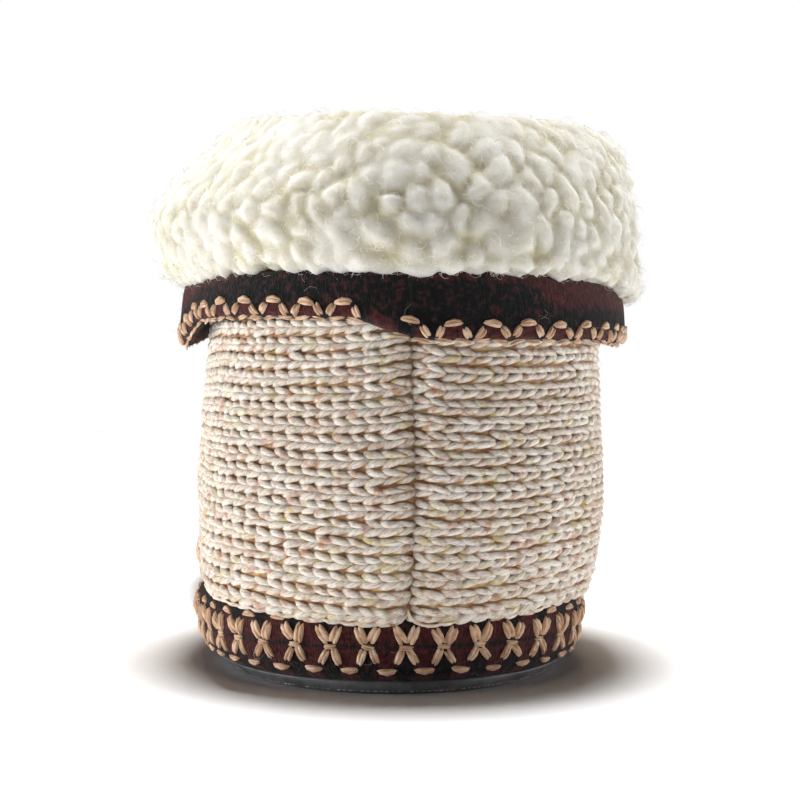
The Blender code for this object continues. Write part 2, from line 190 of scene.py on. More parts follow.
CUFF_BAND_GAP = 0.45 * MM
DOWN_STEPS = 60
SHARE_STEP = 0.0005  # to each side, for a direction round the shoe

# ---- fleece ----
CUFF_COLUMNS = 480
CUFF_POINTS = 168  # of the fleece's section
FLEECE_FROM = (-0.2, 0.6)  # row of CUFF_SECTION where the fleece begins, and rows over which it grows
FLEECE_TO = (11.4, 0.8)  # row where it ends, and rows over which it fades
HEM_AT = (0.9, 0.5)  # row of the cuff's lower edge, and rows to each side that grow short hairs
CLUMP = 5.6 * MM  # from clump to clump
CLUMP_TRIES = 9  # places tried for each clump
CLUMP_APART = 0.72  # least way between clumps, in clumps
CLUMP_LONG = 0.62  # 0 for round clumps, towards 1 for long ones
CLUMP_EDGE = 0.55  # how wide the creases between clumps are, in clumps
CLUMP_ROUND = 0.32  # how much a clump falls away from its middle
CLUMP_REACH = 1.6  # radii over which it falls
CLUMP_RADII = (0.45, 0.75)  # in clumps
CLUMP_TALL = (0.72, 1.0)
CLUMP_CREASE = 0.3  # height of the creases
CLUMP_STRAY = 0.7  # of the clumps' long way, from straight down
CLUMP_WARP = 1.0 * MM  # how irregular the clumps' edges are
CLUMP_WARP_SIZE = 2.6 * MM
CLUMP_HEIGHT = 2.0 * MM
CLUMP_COMBED = 0.45  # how much flatter the clumps lie on top of the cuff
CLUMP_CLEAR = (0.85, 0.7, 0.35)  # how clearly they stand: on average, its spread, and the least
CLUMP_FADE = 9.0 * MM  # from where clumps stand clear to where they run together
CLUMP_SINK = 1.2 * MM  # of the fleece's ground below the solid, so that the clumps reach as far out
AT_A_TIME = 4000  # points whose nearest clumps are looked for together
FOLD_SIZE = 14.0  # of the fleece's slow waves, mm
FOLD_HEIGHT = 0.4 * MM
CURL_SIZE = 2.4  # of the small curls on a clump, mm
CURL_HEIGHT = 0.4 * MM
CURL_NOISE = (0.6, 2.1, 3)  # roughness, step and number of octaves
SHORT_CLUMP = 4.5 * MM  # from clump to clump of the lining and the footbed
LINING_GRID = (210, 74)  # round the shoe and up it
LINING_ENDS = (0.02, 0.97)  # of the way up the upper
LINING_SINK = 4.2 * MM  # of the lining's ground below the knit's face
LINING_HEIGHT = 1.6 * MM
LINING_CURLS = (1.3, 0.2 * MM)  # size in mm, height
FOOTBED_HEIGHT = 1.2 * MM

# ---- loose hairs ----
HAIR_STEPS = 3
HAIR_LIFT = 0.25  # how much hairs stand off the surface
HAIR_CURL = 4.0  # radians that the most curled hairs turn through
HAIR_CURLED = (0.4, 1.0)  # of that
HAIR_LENGTHS = (0.5, 1.4)  # of the length given
HAIR_DIP = 0.3  # how far their ends come down, of their length
HAIR_TAPER = 0.7
HAIR_LEAST = 0.3 * MM  # their least height above the floor
HAIR_LIGHT = 0.25  # how far a hair's shading leans down, towards the bright floor
HAIR_SHADING = 0.2  # how far it strays
FLEECE_HAIRS = (
    # name,         number, length and width
    ("fleece_hairs", 15000, 3.0, 0.10),
    ("hem_hairs",    4000,  1.5, 0.10),
)
KNIT_HAIRS = ("knit_hairs", 4000, 1.7, 0.07)
KNIT_HAIR_LIFT = 0.7  # mm, of their roots off the stitches' ground
KNIT_BARE = 30  # rows of the grid under the cuff, without hairs
BAND_HAIRS = (
    # kind,   number, length and width, shade
    ("dark",  2600,   1.5, 0.06, (52, 30, 30)),
    ("light", 160,    4.5, 0.06, (200, 186, 176)),
)

# ---- sole band, outsole and insole, as in the part's source ----
BAND_SECTION = (
    # place,          height, in from the outer face
    ("foot, out",     2.9, 2.6),
    ("lower swell",   5.5, 1.1),
    ("waist",         9.6, 0.5),
    ("upper swell",   13.0, 0.0),
    ("shoulder",      15.4, 0.8),
    ("top, out",      16.6, 2.0),
    ("top, in",       16.6, 4.4),
    ("inside",        9.6, 3.2),
    ("foot, in",      2.9, 5.2),
)
OUTSOLE_THICK = 2.6 * MM
OUTSOLE_INSET = 2.6 * MM
OUTSOLE_EDGE = (
    # place,          height, in from the inset
    ("foot",          0.0, 1.1),
    ("rounding",      0.45, 0.3),
    ("low side",      1.2, 0.0),
    ("high side",     2.3, 0.0),
    ("top",           2.6, 0.2),
)
OUTSOLE_LOW = 1.5 * MM  # height up to which the outsole follows the arch
TURN_UNDER = 4.4 * MM
TURN_FROM = 6 * MM
TURN_FULL = 42 * MM
TURN_TOP = 7.0 * MM
ARCH_RISE = 0.8 * MM
ARCH = (0.26, 0.34, 0.44, 0.52)
GAP = 0.3 * MM
INSOLE_THICK = 7.5 * MM
INSOLE_INSET = 4.4 * MM
INSOLE_EDGE = 2.5 * MM
INSOLE_DISH = 1.2 * MM
INSOLE_FOOT = ((1.6 * MM, 0.0), (0.9 * MM, 2 * MM))  # in from its side, up from its foot
INSOLE_BEND = 0.3  # of INSOLE_EDGE: middle of the rim's rounding
INSOLE_RINGS = 46
SOLE_COLUMNS = 360
RING_ENDS = (0.97, 0.002)  # sizes of the widest and the narrowest ring inside an edge
OUTSOLE_RINGS = (6, 24)  # on top and underneath

# ---- jacquard pattern ----
REPEAT = 7.35  # length of one repeat, mm
REPEAT_COLUMNS = 10
BAND_POINTS = 40  # of the sole band's section
CUFF_BAND_GRID = (560, 36)
FACE_STEPS = 60  # up a band's outer face
CUFF_BAND_LONG = 320  # mm round the collar
CUFF_REPEATS = 48.62  # round the collar, counted back from its joint at the heel
CUFF_JOINT = (0.006, 0.025)  # shares round the collar where the pattern stops
CUFF_SQUARE = (0.26, 2.3)  # maroon square inside a dash: half its width in repeats, and its height in mm
MAROON_FROM = (11.5, 6.2)  # mm above the fold, at the heel and round the rest
MAROON_HEEL = ((0.05, 0.10), (0.06, 0.02))  # shares from the joint where it begins to drop, and for how long
MAROON_STRAY = (2.5, 1.6)  # size and height of its wandering, mm
SOLE_BLACK = (
    # black ground,      from height, to height, half its width at the lower one, growth of that per mm up
    ("between the feet", -9.0, 4.4, 2.1, 0.0),
    ("lower point",      4.4, 8.6, 2.79, -0.45),
    ("groove",           9.0, 9.8, 9.0, 0.0),
    ("upper point",      10.4, 99.0, 0.62, 0.3),
    ("top edge",         14.6, 99.0, 9.0, 0.0),
)
SOLE_STITCHES = (
    # stitch,            along, height, length, width, lean (degrees up, going round), bow
    ("foot dash",        3.68, 4.6, 3.9, 1.30, 0, -1),
    ("leg, down left",   -1.25, 7.45, 3.5, 1.40, 63, 0),
    ("leg, down right",  1.25, 7.45, 3.5, 1.40, -61, 0),
    ("leg, up left",     -1.20, 11.5, 4.0, 1.85, -66, 0),
    ("leg, up right",    1.20, 11.5, 4.0, 1.85, 64, 0),
    ("crossing",         0.0, 9.25, 2.8, 0.95, 5, 0),
    ("top dash",         3.68, 14.4, 3.6, 1.3, 0, 1),
)
CUFF_STITCHES = (
    # stitch,            along, up from the fold, length, width, lean, bow
    ("dash",             0.0, 2.75, 3.9, 1.45, 0, 1),
    ("leg, left",        -2.40, 1.0, 2.6, 1.35, 57, 0),
    ("leg, right",       2.40, 1.0, 2.6, 1.35, -57, 0),
    ("edging, left",     -1.8, -0.3, 3.7, 0.8, 6, 0),
    ("edging, right",    1.8, -0.3, 3.7, 0.8, -6, 0),
)
TAN_STRAY = (0.12, 0.08)  # of a stitch: mm up, radians
PLY = 0.23  # of a stitch's width, from its middle to each of its two plies
PLY_WIDTH = 0.66  # of the stitch's width
PLY_SPREAD = ((0.97, 0.06), (1, 0.08), (0, 0.05))  # of a ply's length, width and lean
STRAND = (
    # along (share of its length), side when bowed, lift, radius (shares of its width)
    (-0.50, 0.50, -0.22, 0.10),
    (-0.36, 0.24, 0.08, 0.38),
    (0.0, 0.0, 0.20, 0.50),
    (0.36, 0.24, 0.08, 0.38),
    (0.50, 0.50, -0.22, 0.10),
)
THREAD_STEP = 1.25  # mm, along the outsole's lower edge
THREAD_STRAY = 0.1  # of a step
THREAD_HEIGHT = 0.62
THREAD_LONG = 0.9
THREAD_LENGTHS = (0.7, 1.2)  # of that
THREAD_WIDE = 0.20
THREAD_SINK = 0.16 * MM  # most that a dash lies deeper
NUDGE = (0.3, 0.2)  # round and up, for directions on a band, mm


def norm(vectors):
    return np.linalg.norm(vectors, axis=-1)


def unit(vectors):
    return vectors / np.maximum(norm(vectors)[..., None], 1e-12)


def blend(low, high, share):
    return low + (high - low) * share


def ease(value, start=0.0, room=1.0):
    """Smooth step from 0 to 1, from a start and over a room."""
    share = np.clip((value - start) / room, 0.0, 1.0)
    return share * share * (3 - 2 * share)


def numbers(table):
    """A table without its rows' names."""
    return np.array([row[1:] for row in table])


def way_along(line):
    """Way from a line's first point to each of its points."""
    return np.concatenate(([0.0], np.cumsum(norm(np.diff(line, axis=0)))))


def along_line(ways, lengths, values):
    """A line's values at ways along it."""
    return np.stack([np.interp(ways, lengths, column) for column in values.T], -1)


def catmull_rom(p0, p1, p2, p3, t):
    return 0.5 * ((2 * p1) + (p2 - p0) * t + (2 * p0 - 5 * p1 + 4 * p2 - p3) * t ** 2
                  + (3 * p1 - p0 - 3 * p2 + p3) * t ** 3)


# ---- the last's functions, on arrays ----
def outline_line():
    """The sole's outline as a fine line: points, share of the way round at each, and its length."""
    rows = numbers(OUTLINE)[:, ::-1] * (BALL_WIDTH / 2, LENGTH) + (AXIS_X, HEEL_Y)
    rows = np.pad(rows, ((0, 0), (0, 1)))
    t = (np.arange(SPAN_STEPS) / SPAN_STEPS)[:, None]
    line = catmull_rom(*(np.roll(rows, -k, axis=0)[:, None] for k in (-1, 0, 1, 2)), t)
    line = np.vstack([line.reshape(-1, 3), rows[:1]])
    lengths = way_along(line)
    toe, whole = lengths[TOE_ROW * SPAN_STEPS], lengths[-1]
    shares = np.where(lengths <= toe, 0.5 * lengths / toe, 0.5 + 0.5 * (lengths - toe) / (whole - toe))
    return line, shares, whole


LINE, LINE_SHARES, WAY_ROUND = outline_line()


def outline(share):
    return along_line(np.asarray(share, float) % 1.0, LINE_SHARES, LINE)


def outline_normal(share):
    share = np.asarray(share)
    return -unit(np.cross(outline(share + NEAR) - outline(share - NEAR), UP))


def toe_rise(y):
    share = (y - HEEL_Y) / LENGTH
    return TOE_SPRING * np.maximum(0.0, (share - TOE_SPRING_FROM) / (1 - TOE_SPRING_FROM)) ** 2


def seam_away(share):
    """Way round the outline from the heel seam."""
    share = np.asarray(share, float) % 1.0
    return np.minimum(share, 1 - share) * WAY_ROUND


def turned_under(share, height):
    """How much further in the sole's sides are at a height than its back is at the heel seam."""
    sides = ease(seam_away(share), TURN_FROM, TURN_FULL - TURN_FROM)
    return TURN_UNDER * sides * np.maximum(0.0, 1 - np.asarray(height) / TURN_TOP) ** 2


def inset(share, distance, height):
    """Point inside the outline by a distance, and turned under, at a height above the sole's own rise."""
    point = outline(share) - outline_normal(share) * (distance + turned_under(share, height))[..., None]
    point[..., 2] = height + toe_rise(point[..., 1])
    return point


def collar_direction(share):
    return unit(outline(share) - COLLAR_MIDDLE * (1, 1, 0))


def upper_handles(share):
    """The four points of the curve that runs up the upper's outer face, for each share."""
    heel = 0.5 * (1 + np.cos(math.pi * np.minimum(1.0, seam_away(share) / HEEL_REACH)))
    normal = outline_normal(share)
    foot = outline(share) + normal * blend(HEM_OUT, HEM_OUT_HEEL, ease(HEM_SWING * heel))[..., None]
    foot[..., 2] = HEM_HEIGHT - HEM_DROP * heel ** 2 + toe_rise(foot[..., 1])
    way = collar_direction(share)
    reach = 1 / np.hypot(way[..., 0] / COLLAR_HALF_WIDTH, way[..., 1] / COLLAR_HALF_LENGTH)
    top = COLLAR_MIDDLE + way * reach[..., None]
    top[..., 2] = blend(COLLAR_BACK, COLLAR_FRONT, (way[..., 1] + 1) / 2)
    far = norm((foot - COLLAR_MIDDLE)[..., :2]) - reach
    far = np.clip(far / (LENGTH - COLLAR_ALONG - COLLAR_HALF_LENGTH), 0.0, 1.0)[..., None]
    lean = np.array((COLLAR_LEAN, 0, 0)) * BELLY_LEAN * (1 - far)
    low = foot + UP * blend(*BELLY_RISE, far) + normal * blend(*BELLY_OUT, far) + lean
    high = top - UP * blend(*SHAFT_DROP, far) + way * blend(*SHAFT_OUT, far)
    return foot, low, high, top


def bezier(points, t):
    a, b, c, d = points
    s = 1 - t
    return a * s ** 3 + b * (3 * s * s * t) + c * (3 * s * t * t) + d * t ** 3


def cuff_lines(shares):
    """The upper's curve from the collar down for each share: points, normals, and the way down to each."""
    t = np.linspace(0, 1, DOWN_STEPS + 1)[None, :, None]
    before, line, after = (bezier([point[:, None] for point in upper_handles(at)], t)
                           for at in (shares - SHARE_STEP, shares, shares + SHARE_STEP))
    normals = unit(np.cross(np.gradient(line, axis=1), after - before))
    line, normals = line[:, ::-1], normals[:, ::-1]
    return line, normals, np.array([way_along(points) for points in line])


def cuff_points(shares, down, out):
    """Points a way down from the knit's top edge and out from its outer face, a row for each share."""
    points = []
    for line, normals, lengths, below, off in zip(*cuff_lines(shares), down, out[..., None]):
        face, normal = (along_line(np.maximum(below, 0.0), lengths, values) for values in (line, normals))
        points.append(face + off * normal + unit(line[0] - line[1]) * np.maximum(-below, 0.0)[:, None])
    return np.stack(points)


def cuff_shares(count):
    """Shares whose places on the collar are evenly spaced."""
    shares = np.linspace(0, 1, 2 * COLLAR_STEPS + 1)
    lengths = way_along(upper_handles(shares)[3])
    return np.interp(np.arange(count) / count * lengths[-1], lengths, shares)


def outer_side(shares):
    return (1 - collar_direction(shares)[..., 0]) / 2


def heel_shortening(shares):
    return 1 - HEEL_LIFT * np.maximum(0.0, -collar_direction(shares)[..., 1]) ** 2


def smooth_rows(rows, places):
    """Closed Catmull-Rom curve through rows of values, at fractional row places."""
    low = np.minimum(places.astype(int), len(rows) - 1)
    t = (places - low).reshape((-1,) + (1,) * (rows.ndim - 1))
    return catmull_rom(*(rows[(low + k) % len(rows)] for k in (-1, 0, 1, 2)), t)


def even_places(rows, count):
    """Row places that are evenly spaced along the smooth closed curve through 2-D rows."""
    places = np.linspace(0, len(rows), 40 * len(rows) + 1)
    lengths = way_along(smooth_rows(rows, places))
    return np.interp(np.arange(count) / count * lengths[-1], lengths, places)


def band_drop(shares):
    """How far below the knit's top edge the cuff band ends."""
    table = numbers(BAND_DROP)
    at, down = np.vstack([table, table[0] + (1, 0)]).T
    shares = (shares - at[0]) % 1.0 + at[0]
    low = np.clip(np.searchsorted(at, shares, side="right") - 1, 0, len(at) - 2)
    return blend(down[low], down[low + 1], ease(shares, at[low], at[low + 1] - at[low])) * MM


# ---- meshes ----
def grid_normals(points, closed=False):
    """Outward normals of a grid that runs round the shoe, and up the outside first."""
    along, up = (np.roll(points, -1, axis) - np.roll(points, 1, axis) for axis in (0, 1))
    return unit(np.cross(up if closed else np.gradient(points, axis=1), along))


def areas(points):
    """Area that each point of a grid stands for."""
    return norm(np.roll(points, -1, axis=0) - points) * norm(np.gradient(points, axis=1))


def laid(ways, normals):
    """Ways laid down into a surface."""
    return unit(ways - normals * np.sum(ways * normals, axis=-1, keepdims=True))


def add_to_scene(name, data):
    made = bpy.data.objects.new(name, data)
    bpy.context.scene.collection.objects.link(made)
    return made


def add_piece(name, points, faces, material, replaces=()):
    """A piece of the shoe from arrays of points and faces, riding on the root."""
    mesh = bpy.data.meshes.new(name)
    mesh.from_pydata(points.reshape(-1, 3), [], faces)
    mesh.materials.append(material)
    mesh.shade_smooth()
    made = add_to_scene(name, mesh)
    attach(made, "root")
    if replaces:
        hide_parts(*replaces)
    return made


def add_grid(name, points, material, slot, replaces=(), closed=False, turned=False):
    """A piece over a grid that is closed round the shoe, and where it says so, up and down it."""
    columns, rows = points.shape[:2]
    column = np.arange(columns)[:, None]
    row = np.arange(rows if closed else rows - 1)[None, :]
    a = column * rows + row
    b = (column + 1) % columns * rows + row
    up = (row + 1) % rows - row
    faces = np.stack([a, b, b + up, a + up], -1).reshape(-1, 4)
    return add_piece(name, points, faces[:, ::-1] if turned else faces, material, replaces)


def add_values(made, name, values):
    """A number or a vector at each point of a piece, for its material."""
    vectors = values.size == 3 * len(made.data.vertices)
    kind, field = ("FLOAT_VECTOR", "vector") if vectors else ("FLOAT", "value")
    made.data.attributes.new(name, kind, "POINT").data.foreach_set(field, values.ravel().astype(np.float32))


def add_yarn(made, along, around, count, per):
    """The yarn's own coordinates in mm, for count strands of as many points each."""
    start = np.repeat(RNG.uniform(0, YARN_STARTS, count), per)
    add_values(made, "yarn", np.stack([along + start, around, start], -1))


def swept(centres, tangents, normals, side, table, lengths, widths, flat=1.0, sides=LEG_SIDES):
    """Short strands swept along a table's rows: one for each centre. Side multiplies the table's side column.

    Gives points, faces, for each point the way along its strand and round it, and the number for each."""
    frames = np.stack([tangents, np.cross(normals, tangents), normals], 1)
    rows = np.array(table)
    line = rows[:, :3] * np.stack([lengths, side * widths, widths], -1)[:, None]
    run = unit(np.gradient(line * (1, 1, 0), axis=1))
    beside = np.stack([-run[..., 1], run[..., 0], np.zeros_like(run[..., 0])], -1)
    angles = np.linspace(-LEG_ARC, LEG_ARC, sides + 1)[:, None]
    ring = beside[:, :, None] * np.sin(angles) + UP * flat * np.cos(angles)
    ring = ring * rows[:, 3][:, None, None] * widths[:, None, None, None]
    points = centres[:, None, None] + np.einsum("nrsk,nkx->nrsx", line[:, :, None] + ring, frames)
    r, s = np.meshgrid(np.arange(len(rows) - 1), np.arange(sides), indexing="ij")
    a = (r * (sides + 1) + s).ravel()
    per = len(rows) * (sides + 1)
    one = np.stack([a, a + sides + 1, a + sides + 2, a + 1], -1)
    faces = (np.arange(len(centres)) * per)[:, None, None] + one
    along = np.broadcast_to(np.linspace(0, 1, len(rows))[:, None], points.shape[:3])
    around = np.broadcast_to(np.linspace(0, 1, sides + 1), points.shape[:3])
    return points.reshape(-1, 3), faces.reshape(-1, 4), along.ravel(), around.ravel(), per


def scattered(points, count, weights=1.0):
    """Places over a grid of points, by their area: indices into the flat grid."""
    area = (areas(points) * weights).ravel()
    return RNG.choice(area.size, count, replace=False, p=area / area.sum())


def fuzz(name, points, number, length, width, material, slot, weights=1.0, closed=True, lift=0.0):
    """Loose curled hairs over a grid, as narrow ribbons that catch more light than it. Sizes in mm."""
    chosen = scattered(points, number, weights)
    normals = grid_normals(points, closed).reshape(-1, 3)[chosen]
    roots = points.reshape(-1, 3)[chosen] + normals * lift * MM
    ways = unit(unit(RNG.normal(size=(number, 3))) + normals * HAIR_LIFT)
    beside = unit(np.cross(normals, ways))
    lengths = (length * MM * RNG.uniform(*HAIR_LENGTHS, number))[:, None]
    curl = RNG.uniform(*HAIR_CURLED, (number, 1)) * HAIR_CURL
    wide = width * MM
    sides = []
    for part in np.linspace(0, 1, HAIR_STEPS + 1):
        turn = curl * part
        bent = ways * np.sin(turn) + beside * (1 - np.cos(turn)) - normals * HAIR_DIP * part ** 2
        centre = roots + bent * lengths / curl
        half = (beside * np.cos(turn) - ways * np.sin(turn)) * wide / 2 * (1 - HAIR_TAPER * part)
        sides += [centre + half, centre - half]
    ribbons = np.stack(sides, 1)
    ribbons[..., 2] = np.maximum(ribbons[..., 2], HAIR_LEAST)
    quads = np.array([(2 * k, 2 * k + 1, 2 * k + 3, 2 * k + 2) for k in range(HAIR_STEPS)])
    faces = (np.arange(number) * len(sides))[:, None, None] + quads
    made = add_piece(name, ribbons, faces.reshape(-1, 4), material)
    lit = unit(normals - (0, 0, HAIR_LIGHT) + RNG.normal(0, HAIR_SHADING, (number, 3)))
    made.data.normals_split_custom_set_from_vertices(np.repeat(lit, len(sides), axis=0))
    made.visible_shadow = False


# ---- materials ----
def colour(red, green, blue):
    """A colour given as on screen, 0 to 255."""
    parts = [part / 255 for part in (red, green, blue)]
    return [part / 12.92 if part <= 0.04045 else ((part + 0.055) / 1.055) ** 2.4 for part in parts] + [1.0]


class Paint:
    """A material under construction: its nodes and its shader."""

    def __init__(self, name, roughness, sheen=0.0, specular=0.25):
        self.material = bpy.data.materials.new(name)
        self.material.use_nodes = True
        self.tree = self.material.node_tree
        self.shader = self.tree.nodes["Principled BSDF"]
        self.set(Roughness=roughness, Specular_IOR_Level=specular, Sheen_Weight=sheen, Sheen_Roughness=0.6)

    def set(self, **values):
        """Constants of the shader, whose names have spaces where these have underscores."""
        for key, value in values.items():
            self.shader.inputs[key.replace("_", " ")].default_value = value

    def feed(self, socket, value):
        if isinstance(value, bpy.types.NodeSocket):
            self.tree.links.new(value, socket)
        else:
            socket.default_value = value

    def node(self, kind, output, inputs=(), **settings):
        """Adds a node, and gives one of its outputs."""
        made = self.tree.nodes.new(kind)
        for key, value in settings.items():
            setattr(made, key, value)
        for key, value in dict(inputs).items():
            self.feed(made.inputs[key], value)
        return made.outputs[output]

    def value(self, name, part="Fac"):
        return self.node("ShaderNodeAttribute", part, attribute_name=name)

    def mapped(self, vector, scale, turn=0.0, kind="POINT"):
        inputs = {"Vector": vector, "Rotation": (0, 0, turn), "Scale": scale}
        return self.node("ShaderNodeMapping", "Vector", inputs, vector_type=kind)

    def noise(self, size, detail=2.0, vector=None):
        """Noise whose blotches are about a size in mm."""
        vector = vector or self.mapped(self.node("ShaderNodeTexCoord", "Object"), (1 / MM,) * 3)
        return self.node("ShaderNodeTexNoise", "Fac", {"Vector": vector, "Scale": 1 / size, "Detail": detail})

    def fibres(self, name, scale, turn=0.0, kind="TEXTURE"):
        """Noise drawn out along coordinates that a piece brings."""
        return self.noise(1.0, 3.0, self.mapped(self.value(name, "Vector"), scale, turn, kind))

    def ramp(self, factor, *stops):
        """A stop is its place and a grey, a colour as on screen, or four parts that stay as they are."""
        made = self.node("ShaderNodeValToRGB", "Color", {"Fac": factor})
        places = made.node.color_ramp.elements
        while len(places) < len(stops):
            places.new(0.5)
        for place, (position, *value) in zip(places, stops):
            place.position = position
            place.color = colour(*value) if len(value) == 3 else (value * 3)[:3] + [1]
        return made

    def mix(self, factor, first, second, kind="MIX"):
        inputs = {0: factor, 6: first, 7: second}
        return self.node("ShaderNodeMix", 2, inputs, data_type="RGBA", blend_type=kind)

    def bump(self, height, distance, strength=1.0):
        """Relief of a distance in mm."""
        inputs = {"Height": height, "Distance": distance * MM, "Strength": strength}
        self.feed(self.shader.inputs["Normal"], self.node("ShaderNodeBump", "Normal", inputs))

    def paint(self, tone):
        self.feed(self.shader.inputs["Base Color"], tone)
        return self.material


def yarn_paint():
    """Cream tweed yarn: twisted fibres, tan painted as shade where the legs sink into hollows, and a few
    bright flecks.
    """
    paint = Paint("cream_yarn", 0.9, sheen=0.2)
    fibres = paint.fibres("yarn", (1.5, 0.28, 1.0), 0.45)
    cream = paint.ramp(paint.noise(6.0), (0.35, 236, 224, 209), (0.60, 248, 241, 231))
    tint = paint.ramp(paint.noise(3.6, 1.0), (0.36, 190, 142, 100), (0.45, 216, 172, 152),
                      (0.53, 184, 170, 160), (0.62, 208, 186, 122))
    patches = paint.ramp(paint.noise(2.0, 4.0), (0.50, 0.0), (0.66, 0.85))
    tone = paint.mix(patches, paint.mix(paint.ramp(fibres, (0.38, 0.7), (0.50, 0.0)), cream, tint), tint)
    # Tan painted as shade: the less proud a point of a leg stands, the more of this tan it takes.
    painted_shade = paint.ramp(paint.noise(3.0), (0.36, 174, 128, 94), (0.50, 210, 164, 120), (0.62, 224, 197, 138))
    proud = {"Value": paint.value("proud"), "From Min": -0.20, "From Max": 0.35}
    tone = paint.mix(paint.node("ShaderNodeMapRange", "Result", proud), painted_shade, tone)
    bright = paint.ramp(paint.noise(11.0, 0.0), (0.48, 226, 150, 104), (0.52, 224, 214, 96))
    tone = paint.mix(paint.ramp(paint.noise(2.6, 1.0), (0.76, 0.0), (0.82, 0.75)), tone, bright)
    paint.bump(paint.mix(0.5, fibres, paint.noise(0.45, 3.0)), 0.35, 0.9)
    return paint.paint(tone)


def ground_paint():
    """The recessed inside of the knit: tan and yellow painted as shade and warm bounce light between the
    stitches.
    """
    paint = Paint("knit_ground", 0.95)
    paint.bump(paint.noise(0.6, 3.0), 0.3)
    # Painted shade: darker, warmer tones than the cream yarn, for the gaps between the stitches.
    gap_shade = paint.ramp(paint.noise(3.2), (0.36, 178, 132, 98), (0.50, 210, 164, 122), (0.62, 230, 202, 154))
    return paint.paint(gap_shade)


def fleece_paint(name, tone):
    """Cream sherpa: painted yellowish shade in the creases between its clumps, with fine curls."""
    paint = Paint(name, 0.95, sheen=0.2)
    # Painted shade: yellowish tones low in the creases, by the clump height, paler on the clumps' tops.
    painted_shade, light = ([part * tone for part in colour(*shade)] for shade in ((202, 194, 160), (226, 223, 214)))
    crease_shade = paint.ramp(paint.value("clump"), (0.0, *painted_shade), (0.6, *light))
    blotch = paint.ramp(paint.noise(9.0), (0.35, 0.90, 0.885, 0.84, 1), (0.6, 1, 1, 1, 1))
    paint.set(Subsurface_Weight=0.85, Subsurface_Radius=(1.0, 0.9, 0.65), Subsurface_Scale=4.0 * MM)
    paint.bump(paint.noise(0.8, 4.0), 0.22)
    return paint.paint(paint.mix(1.0, crease_shade, blotch, "MULTIPLY"))


def hair_paint(name, *shade):
    """Loose fibres of one shade, lighter and darker along their length."""
    paint = Paint(name, 0.9, sheen=0.3)
    return paint.paint(paint.ramp(paint.noise(1.5), (0.4, *(part * 0.88 for part in shade)), (0.6, *shade)))


def wool_paint():
    """Dark jacquard wool: the chart value picks maroon or black; fine upright ribs."""
    paint = Paint("dark_wool", 0.95, sheen=0.05)
    grain = paint.noise(0.8, 4.0)
    maroon = paint.ramp(grain, (0.3, 32, 12, 13), (0.7, 88, 38, 37))
    black = paint.ramp(paint.noise(1.3, 3.0), (0.42, 7, 7, 8), (0.54, 20, 18, 19), (0.64, 62, 28, 29))
    paint.bump(paint.mix(0.5, paint.fibres("chart", (3.2, 0.5, 0.0), kind="POINT"), grain), 0.8)
    chart = paint.node("ShaderNodeSeparateXYZ", "Z", {"Vector": paint.value("chart", "Vector")})
    return paint.paint(paint.mix(chart, maroon, black))


def tan_paint():
    """Tan wool of the crossed stitches: two plies, with fibres along them."""
    paint = Paint("tan_wool", 0.9, sheen=0.2)
    fibres = paint.fibres("yarn", (2.2, 0.30, 1.0), 0.3)
    tone = paint.ramp(paint.noise(2.4), (0.36, 208, 166, 132), (0.55, 234, 196, 162), (0.68, 246, 218, 190))
    lines = paint.ramp(fibres, (0.36, 0.52, 0.42, 0.36, 1), (0.52, 1, 1, 1, 1))
    paint.bump(fibres, 0.4)
    return paint.paint(paint.mix(0.9, tone, lines, "MULTIPLY"))


def rubber_paint():
    """Dark matt sole with a fine grain."""
    paint = Paint("dark_rubber", 0.5, specular=0.5)
    paint.bump(paint.noise(0.5, 4.0), 0.12)
    return paint.paint(paint.ramp(paint.noise(4.0, 4.0), (0.3, 66, 67, 69), (0.7, 98, 98, 100)))


# ---- the knit upper ----
def upper_grid():
    """Fine grid over the stitches' ground, from under the rolled hem to the collar."""
    shares = np.arange(COLUMNS) / COLUMNS
    foot, low, high, top = (point[:, None] for point in upper_handles(shares))
    start = ROLL / (3 * norm(low - foot)[..., None])
    face = bezier((foot, low, high, top), blend(start, 1.0, np.linspace(0, 1, ROWS)[None, :, None]))
    out = grid_normals(face)[:, 0]
    rise = unit(face[:, 1] - face[:, 0])
    roll = [face[:, 0] - out * ROLL * (1 - math.cos(turn)) + rise * ROLL * math.sin(turn)
            for turn in np.linspace(-ROLL_TURN, 0, ROLL_ROWS + 1)[:-1]]
    grid = np.concatenate([np.stack(roll, 1), face], axis=1)
    depth = SEAM_DEPTH * np.exp(-(seam_away(shares) / SEAM_WIDTH) ** 2) + STITCH_SINK
    return grid - grid_normals(grid) * depth[:, None, None]


def way_from_hem(grid):
    """Way over the surface from the hem to each point, row by row over a fan of short steps."""
    away = np.zeros(grid.shape[:2])
    away[:, :ROLL_ROWS] = ROLL * np.linspace(-ROLL_TURN, 0, ROLL_ROWS + 1)[:-1]
    for row in range(ROLL_ROWS + 1, grid.shape[1]):
        here = grid[:, row]
        ways = []
        for back in range(1, min(2, row - ROLL_ROWS) + 1):
            for step in range(-FAN, FAN + 1):
                steps = norm(here - np.roll(grid[:, row - back], step, axis=0))
                ways.append(np.roll(away[:, row - back], step) + steps)
        best = np.min(ways, axis=0)
        for step in ALONG_ROW:
            best = np.minimum(best, np.roll(best, step) + norm(here - np.roll(here, step, axis=0)))
        away[:, row] = best
    for _ in range(WAY_SMOOTHED):
        away = 0.5 * away + 0.25 * (np.roll(away, 1, axis=0) + np.roll(away, -1, axis=0))
    return away


def tilted(away):
    """The way from the hem, warped so that the rows of stitches level out above the dropped heel hem."""
    shares = np.arange(COLUMNS) / COLUMNS
    side = TILT_REACH * (1 - np.exp(-seam_away(shares) / TILT_REACH)) * np.where(shares < 0.5, *WALE_TILT)
    side *= 1 - ease(np.minimum(shares, 1 - shares), *TILT_FADE)
    return away - side[:, None] * ease(away / TILT_FULL)


